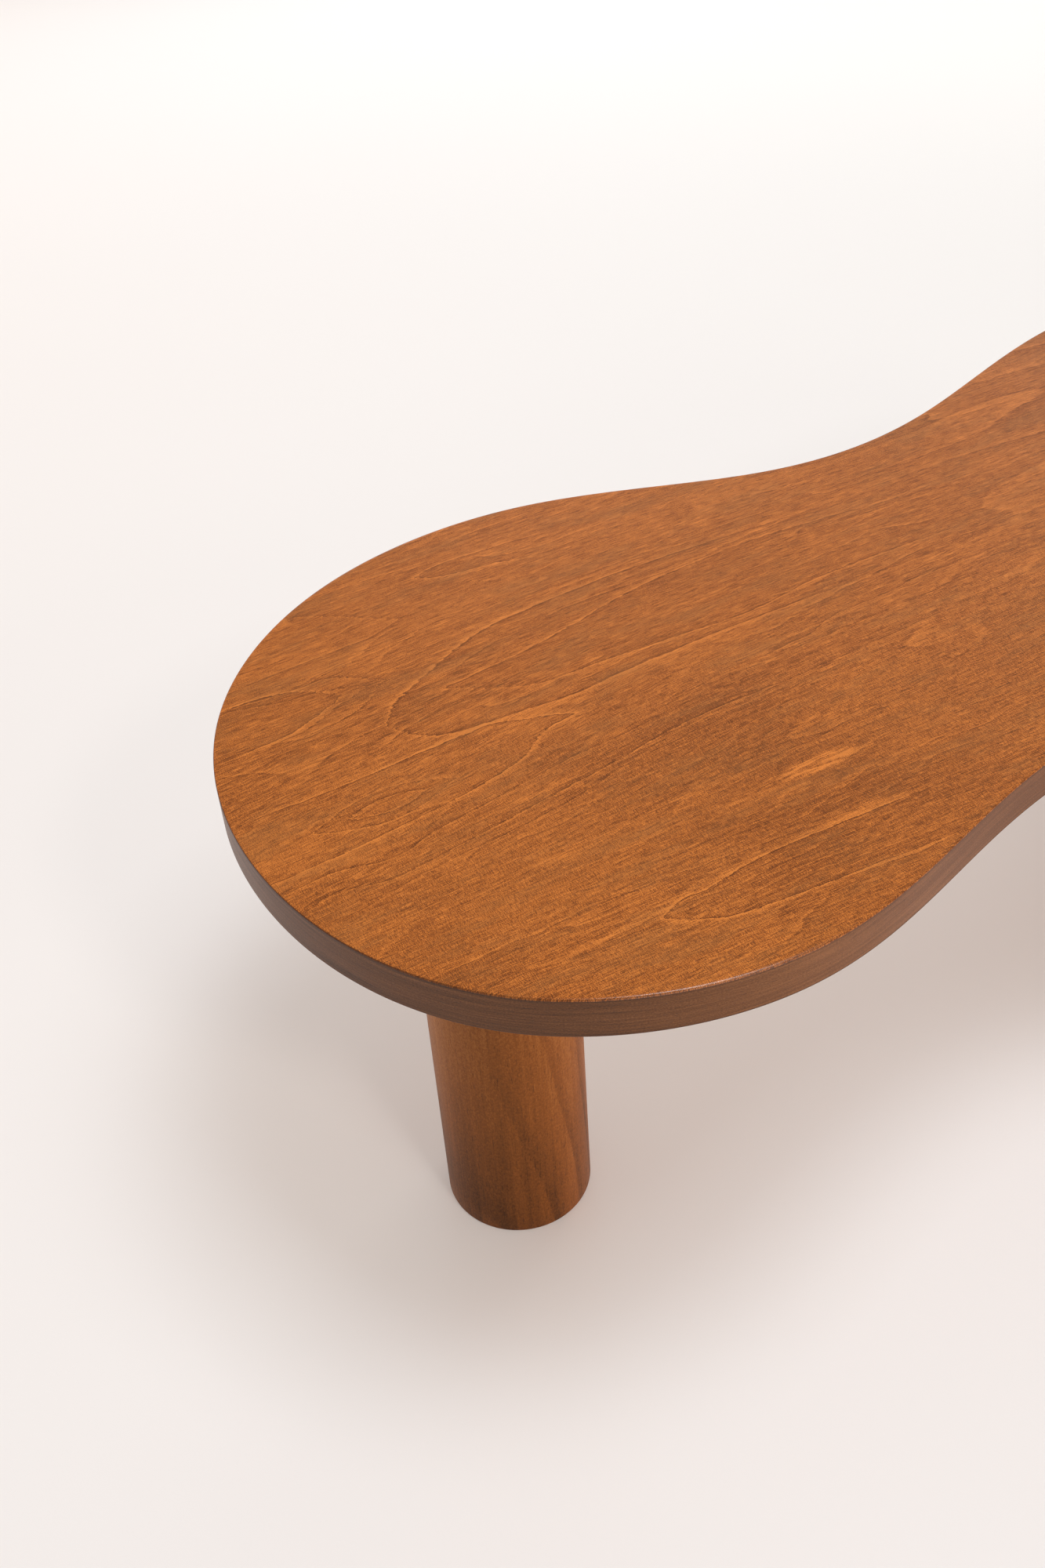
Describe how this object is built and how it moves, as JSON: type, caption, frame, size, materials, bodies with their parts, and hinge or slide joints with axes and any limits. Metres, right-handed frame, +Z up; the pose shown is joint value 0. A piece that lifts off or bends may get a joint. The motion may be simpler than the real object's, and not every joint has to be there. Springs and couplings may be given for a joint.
{
  "type": "low free-form bench",
  "caption": "Low wooden bench with a flat, level, peanut-shaped veneered top standing on thick, plain, round screw-on legs set in from its edge.",
  "frame": {"origin": "on the floor under the middle of the top's plan box", "axes": "+X along the bench from the small end to the large end, +Z up"},
  "size_m": [1.077, 0.502, 0.38],
  "materials": {
    "face_veneer": "satin, rotary-cut veneer stained warm brown",
    "edge_band": "satin, long-grained edge strip stained brown",
    "backing_veneer": "matt, stained veneer",
    "core_board": "raw wood board",
    "leg_wood": "satin, turned solid wood stained brown",
    "plate_steel": "plain rolled steel",
    "zinc_steel": "zinc plated",
    "felt": "pressed felt"
  },
  "bodies": {
    "root": {"top_core": "core_board", "face_veneer": "face_veneer", "backing_veneer": "backing_veneer", "edge_band_front": "edge_band", "edge_band_back": "edge_band", "single_leg": "leg_wood", "single_leg_plate": "plate_steel", "single_leg_screws": "zinc_steel", "single_leg_bolt": "zinc_steel", "single_leg_glide": "felt", "front_leg": "leg_wood", "front_leg_plate": "plate_steel", "front_leg_screws": "zinc_steel", "front_leg_bolt": "zinc_steel", "front_leg_glide": "felt", "back_leg": "leg_wood", "back_leg_plate": "plate_steel", "back_leg_screws": "zinc_steel", "back_leg_bolt": "zinc_steel", "back_leg_glide": "felt"}
  },
  "joints": []
}
